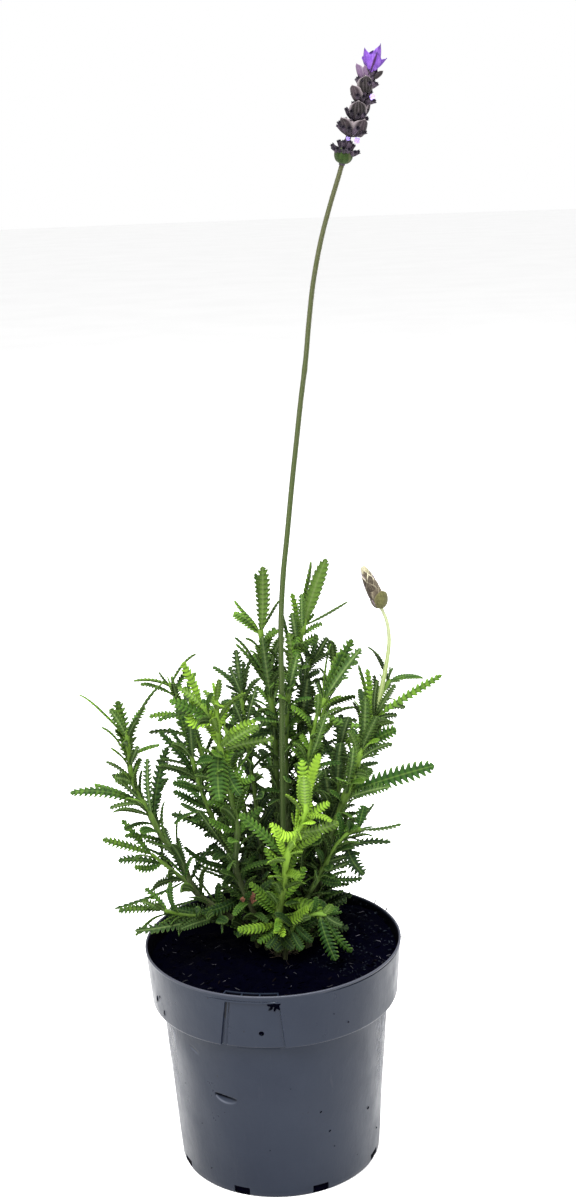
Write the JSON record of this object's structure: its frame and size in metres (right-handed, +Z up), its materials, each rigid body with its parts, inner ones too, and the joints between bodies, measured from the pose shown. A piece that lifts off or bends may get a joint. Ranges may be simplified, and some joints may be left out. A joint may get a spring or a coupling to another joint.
{
  "type": "potted lavender",
  "caption": "Young toothed-leaf lavender with leafy stems, a tall flower spike and a closed bud, in a round nursery pot.",
  "frame": {"origin": "middle of the pot's flat underside, on the surface that it stands on", "axes": "+Z up along the pot's axis, -Y towards the recessed panel of the pot's collar, +X to the right seen from the front"},
  "size_m": [0.2024, 0.1771, 0.5929],
  "materials": {
    "pot_plastic": "smooth dark slate plastic with a dull gloss",
    "potting_mix": "loose dark potting mix with bits of bark",
    "woody_bark": "rough brown bark",
    "leaf_green": "mid green leaf, dull, with a paler rib",
    "leaf_bright": "young yellow-green leaf",
    "leaf_dark": "dark green inner leaf",
    "flower_stem_skin": "olive stem with fine pale hairs",
    "dusky_calyx": "woolly grey-purple calyx",
    "green_bract": "dull green bract",
    "violet_bract": "thin violet bract",
    "pale_stalk": "pale green downy stalk",
    "bud_scale": "woolly grey-brown bud scales",
    "bud_bract_skin": "dull olive bract"
  },
  "bodies": {
    "root": {"pot": "pot_plastic", "soil": "potting_mix", "crown": "woody_bark", "leafy_stem_left_outer": "leaf_green", "leafy_stem_left_middle": "leaf_green", "leafy_stem_centre_left": "leaf_bright", "leafy_stem_centre": "leaf_dark", "leafy_stem_tall_left": "leaf_green", "leafy_stem_tall_right": "leaf_green", "leafy_stem_dark_right": "leaf_dark", "leafy_stem_right_middle": "leaf_green", "leafy_stem_right_outer": "leaf_green", "leafy_stem_right_low": "leaf_green", "leafy_stem_right_centre": "leaf_dark", "leafy_stem_front": "leaf_bright", "leafy_stem_front_low": "leaf_green", "leafy_stem_back_1": "leaf_green", "leafy_stem_back_2": "leaf_green", "leafy_stem_back_3": "leaf_green", "leafy_stem_back_4": "leaf_green", "leafy_stem_back_5": "leaf_green", "flower_stem": "flower_stem_skin", "flower_spike": "dusky_calyx", "flower_green_bracts": "green_bract", "flower_coma": "violet_bract", "bud_stalk": "pale_stalk", "bud_head": "bud_scale", "bud_bract": "bud_bract_skin"}
  },
  "joints": []
}
